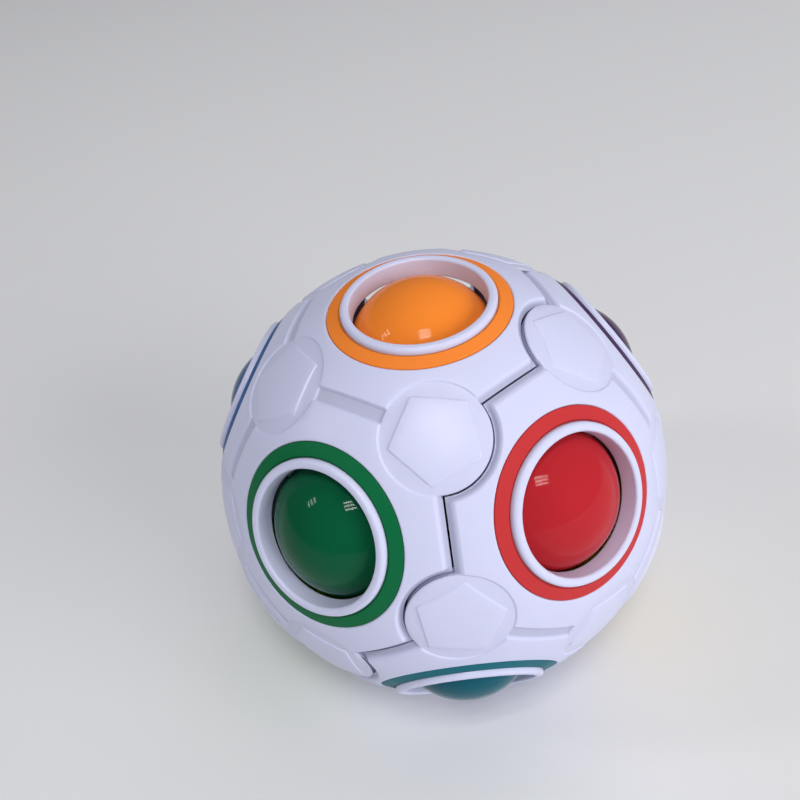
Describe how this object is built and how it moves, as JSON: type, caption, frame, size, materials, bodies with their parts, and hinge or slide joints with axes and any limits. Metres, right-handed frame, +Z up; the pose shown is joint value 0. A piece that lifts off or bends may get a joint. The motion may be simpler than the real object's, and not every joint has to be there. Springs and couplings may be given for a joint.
{
  "type": "rainbow ball puzzle",
  "caption": "Hollow white puzzle sphere with coloured rings round its holes and loose coloured balls that are pressed in and rolled to the empty hole.",
  "frame": {"origin": "on the resting plane, under the sphere's centre", "axes": "+Z up through the top hole; -Y towards the side with two upper holes and one lower hole at the front; +X to the right"},
  "size_m": [0.07, 0.0702, 0.0694],
  "materials": {
    "shell_white": "satin moulded ABS with a faint cool tint",
    "core_plastic": "plain moulded plastic",
    "ring_orange": "satin moulded plastic",
    "ring_green": "satin moulded plastic",
    "ring_red": "satin moulded plastic",
    "ring_purple": "satin moulded plastic",
    "ring_white": "satin moulded plastic",
    "ring_blue": "satin moulded plastic",
    "ring_teal": "satin moulded plastic",
    "ring_yellow": "satin moulded plastic",
    "ring_pink": "satin moulded plastic",
    "ring_black": "satin moulded plastic",
    "ring_lime": "satin moulded plastic",
    "ring_brown": "satin moulded plastic",
    "ball_orange": "glossy moulded plastic",
    "ball_green": "glossy moulded plastic",
    "ball_red": "glossy moulded plastic",
    "ball_purple": "glossy moulded plastic",
    "ball_blue": "glossy moulded plastic",
    "ball_teal": "glossy moulded plastic",
    "ball_yellow": "glossy moulded plastic",
    "ball_pink": "glossy moulded plastic",
    "ball_black": "glossy moulded plastic",
    "ball_lime": "glossy moulded plastic",
    "ball_brown": "glossy moulded plastic"
  },
  "bodies": {
    "shell": {"shell_half_left": "shell_white", "shell_half_right": "shell_white", "ring_orange": "ring_orange", "ring_green": "ring_green", "ring_red": "ring_red", "ring_purple": "ring_purple", "ring_white": "ring_white", "ring_blue": "ring_blue", "ring_teal": "ring_teal", "ring_yellow": "ring_yellow", "ring_pink": "ring_pink", "ring_black": "ring_black", "ring_lime": "ring_lime", "ring_brown": "ring_brown"},
    "core": {"core_ball": "core_plastic"},
    "ball_orange": {"ball_orange": "ball_orange"},
    "ball_green": {"ball_green": "ball_green"},
    "ball_red": {"ball_red": "ball_red"},
    "ball_purple": {"ball_purple": "ball_purple"},
    "ball_blue": {"ball_blue": "ball_blue"},
    "ball_teal": {"ball_teal": "ball_teal"},
    "ball_yellow": {"ball_yellow": "ball_yellow"},
    "ball_pink": {"ball_pink": "ball_pink"},
    "ball_black": {"ball_black": "ball_black"},
    "ball_lime": {"ball_lime": "ball_lime"},
    "ball_brown": {"ball_brown": "ball_brown"}
  },
  "joints": [
    {"name": "press_orange", "type": "slide", "parent": "shell", "child": "ball_orange", "axis": [0, 0, 1], "range_m": [-0.00303, 0.0006]},
    {"name": "press_green", "type": "slide", "parent": "shell", "child": "ball_green", "axis": [-0.5257, -0.7236, 0.4472], "range_m": [-0.00333, 0.0003]},
    {"name": "press_red", "type": "slide", "parent": "shell", "child": "ball_red", "axis": [0.5257, -0.7236, 0.4472], "range_m": [-0.00333, 0.0003]},
    {"name": "press_purple", "type": "slide", "parent": "shell", "child": "ball_purple", "axis": [0.8507, 0.2764, 0.4472], "range_m": [-0.00333, 0.0003]},
    {"name": "press_blue", "type": "slide", "parent": "shell", "child": "ball_blue", "axis": [-0.8507, 0.2764, 0.4472], "range_m": [-0.00333, 0.0003]},
    {"name": "press_teal", "type": "slide", "parent": "shell", "child": "ball_teal", "axis": [0, -0.8944, -0.4472], "range_m": [-0.00363, 0]},
    {"name": "press_yellow", "type": "slide", "parent": "shell", "child": "ball_yellow", "axis": [0.8507, -0.2764, -0.4472], "range_m": [-0.00363, 0]},
    {"name": "press_pink", "type": "slide", "parent": "shell", "child": "ball_pink", "axis": [0.5257, 0.7236, -0.4472], "range_m": [-0.00363, 0]},
    {"name": "press_lime", "type": "slide", "parent": "shell", "child": "ball_lime", "axis": [-0.8507, -0.2764, -0.4472], "range_m": [-0.00363, 0]},
    {"name": "press_brown", "type": "slide", "parent": "shell", "child": "ball_brown", "axis": [0, 0, -1], "range_m": [-0.00135, 0.00228]},
    {"name": "roll_round_core", "type": "hinge", "parent": "shell", "child": "core", "pos_m": [0, 0, 0.0339], "axis": [0.809, 0.2629, -0.5257], "range_deg": [0, 63.44]},
    {"name": "pop_out_black", "type": "slide", "parent": "core", "child": "ball_black", "axis": [-0.5257, 0.7236, -0.4472], "range_m": [0, 0.00395]}
  ]
}
